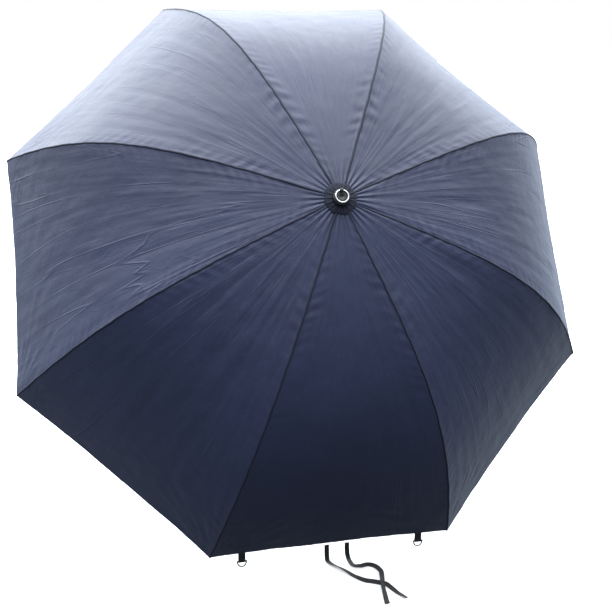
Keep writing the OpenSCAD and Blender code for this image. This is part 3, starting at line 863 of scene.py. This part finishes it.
# ------------------------------------------------------------------ D-rings on webbing tabs
for sgn, side in ((-1, "left"), (1, "right")):
    x0 = sgn * (HEM_X - 0.1)
    zb = HEM_Z - 0.024
    w, h = 0.0145, 0.0176
    ctrl = [(-w, 0), (-w * .98, -h * .14), (-w * .86, -h * .5), (-w * .62, -h * .82), (-w * .3, -h), (w * .3, -h), (w * .62, -h * .82), (w * .86, -h * .5), (w * .98, -h * .14), (w, 0), (w * .4, 0), (-w * .4, 0)]
    c3 = np.array([(x0 + a, HEM_Y, zb + b) for a, b in ctrl])
    loop = []
    nC = len(c3)
    for k in range(nC):
        a, b, c, d = c3[k - 1], c3[k], c3[(k + 1) % nC], c3[(k + 2) % nC]
        for j in range(6):
            t = j / 6
            loop.append(0.5 * ((2 * b) + (c - a) * t + (2 * a - 5 * b + 4 * c - d) * t * t + (3 * b - a - 3 * c + d) * t ** 3))
    v, f = tube(np.array(loop), 0.00195, 16, closed=True)
    ob = make("dring_%s_wire" % side, v, f, M_DRING, "ring_" + side)
    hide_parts("dring_" + side)
    # webbing loop round the bar, its two legs sewn together up to the hem
    cs = []
    for k in range(15):
        an = math.radians(200 + 140 * k / 14)
        cs.append((0.0034 * math.cos(an), 0.0034 * math.sin(an)))
    left = [(-0.0011, 0.0275), (-0.0011, 0.022), (-0.0011, 0.016), (-0.0012, 0.010), (-0.0018, 0.006), (-0.0027, 0.003)]
    line = left + cs + [(-a, b) for a, b in left[::-1]]
    n = len(line)
    v, lat, ar = [], [], []
    W = 0.022
    acc = 0
    for k in range(n):
        a = np.array(line[max(0, k - 1)])
        b = np.array(line[min(n - 1, k + 1)])
        d = (b - a) / np.linalg.norm(b - a)
        nn = np.array([d[1], -d[0]])
        if k:
            acc += np.linalg.norm(np.array(line[k]) - np.array(line[k - 1]))
        for o in (0.0006, -0.0006):
            for j in range(9):
                x = (j / 8 - 0.5) * W
                q = np.array(line[k]) + nn * o
                v.append((x0 + x, HEM_Y + q[0], zb + q[1]))
                lat.append(x)
                ar.append(acc)
    f = []
    for k in range(n - 1):
        a0, b0 = k * 18, (k + 1) * 18
        for j in range(8):
            f.append((a0 + j, b0 + j, b0 + j + 1, a0 + j + 1))
            f.append((a0 + 9 + j + 1, b0 + 9 + j + 1, b0 + 9 + j, a0 + 9 + j))
        f.append((a0, a0 + 9, b0 + 9, b0))
        f.append((a0 + 8, b0 + 8, b0 + 17, a0 + 17))
    for e in (0, n - 1):
        for j in range(8):
            q = (e * 18 + j, e * 18 + j + 1, e * 18 + 10 + j, e * 18 + 9 + j)
            f.append(q if e == 0 else q[::-1])
    ob = make("dring_tab_%s_loop" % side, v, f, M_WEB, "tab_" + side)
    put_attr(ob, c_lat=lat, c_arc=ar)
    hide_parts("dring_tab_" + side)

# ------------------------------------------------------------------ floor and world
SKY_DIR = (0.0, 0.42, 0.90)
SKY = [(0.0, 0.050), (0.30, 0.062), (0.45, 0.085), (0.58, 0.12), (0.70, 0.27), (0.82, 0.92), (1.0, 1.55)]
SKY_TINT = (0.90, 0.95, 1.0)
SKY_GAIN = 4.3
floor_me = bpy.data.meshes.new("floor")
floor_me.from_pydata([(-60, -60, -0.0004), (60, -60, -0.0004), (60, 60, -0.0004), (-60, 60, -0.0004)], [], [(0, 1, 2, 3)])
floor = bpy.data.objects.new("floor", floor_me)
col.objects.link(floor)
fm, nt, p = new_mat("floor_pale")
p.inputs["Base Color"].default_value = (0.86, 0.86, 0.87, 1)
p.inputs["Roughness"].default_value = 0.9
p.inputs["Specular IOR Level"].default_value = 0.1
p.inputs["Emission Color"].default_value = (1, 1, 1, 1)
p.inputs["Emission Strength"].default_value = 0.42
floor_me.materials.append(fm)
p.inputs["Base Color"].default_value = (0.88, 0.88, 0.89, 1)
p.inputs["Emission Strength"].default_value = 0.35
lp = nt.nodes.new("ShaderNodeLightPath")
dk = nt.nodes.new("ShaderNodeBsdfDiffuse")
dk.inputs["Color"].default_value = (0.07, 0.075, 0.08, 1)
mxs = nt.nodes.new("ShaderNodeMixShader")
nt.links.new(lp.outputs["Is Camera Ray"], mxs.inputs[0])
nt.links.new(dk.outputs[0], mxs.inputs[1])
nt.links.new(p.outputs[0], mxs.inputs[2])
nt.links.new(mxs.outputs[0], [n for n in nt.nodes if n.type == "OUTPUT_MATERIAL"][0].inputs[0])

bpy.context.scene.view_settings.view_transform = "Standard"
bpy.context.scene.view_settings.look = "None"
world = bpy.data.worlds.new("studio")
bpy.context.scene.world = world
world.use_nodes = True
wn = world.node_tree
wn.nodes.clear()
wo = wn.nodes.new("ShaderNodeOutputWorld")
tcw = wn.nodes.new("ShaderNodeTexCoord")
dot = wn.nodes.new("ShaderNodeVectorMath")
dot.operation = "DOT_PRODUCT"
dot.inputs[1].default_value = SKY_DIR
wn.links.new(tcw.outputs["Generated"], dot.inputs[0])
rw = wn.nodes.new("ShaderNodeValToRGB")
els = rw.color_ramp.elements
els[0].position, els[0].color = 0.0, (*[SKY[0][1] * c for c in SKY_TINT], 1)
els[1].position, els[1].color = 1.0, (*[SKY[-1][1] * c for c in SKY_TINT], 1)
for ps, st in SKY[1:-1]:
    e_ = els.new(ps)
    e_.color = (*[st * c for c in SKY_TINT], 1)
mrw = wn.nodes.new("ShaderNodeMapRange")
mrw.inputs["From Min"].default_value = -1
mrw.inputs["From Max"].default_value = 1
wn.links.new(dot.outputs["Value"], mrw.inputs["Value"])
wn.links.new(mrw.outputs[0], rw.inputs[0])
bg = wn.nodes.new("ShaderNodeBackground")
wn.links.new(rw.outputs[0], bg.inputs["Color"])
bg.inputs["Strength"].default_value = SKY_GAIN
bw = wn.nodes.new("ShaderNodeBackground")
bw.inputs["Color"].default_value = (1, 1, 1, 1)
bw.inputs["Strength"].default_value = 1.0
lpw = wn.nodes.new("ShaderNodeLightPath")
mxw = wn.nodes.new("ShaderNodeMixShader")
wn.links.new(lpw.outputs["Is Camera Ray"], mxw.inputs[0])
wn.links.new(bg.outputs[0], mxw.inputs[1])
wn.links.new(bw.outputs[0], mxw.inputs[2])
wn.links.new(mxw.outputs[0], wo.inputs[0])
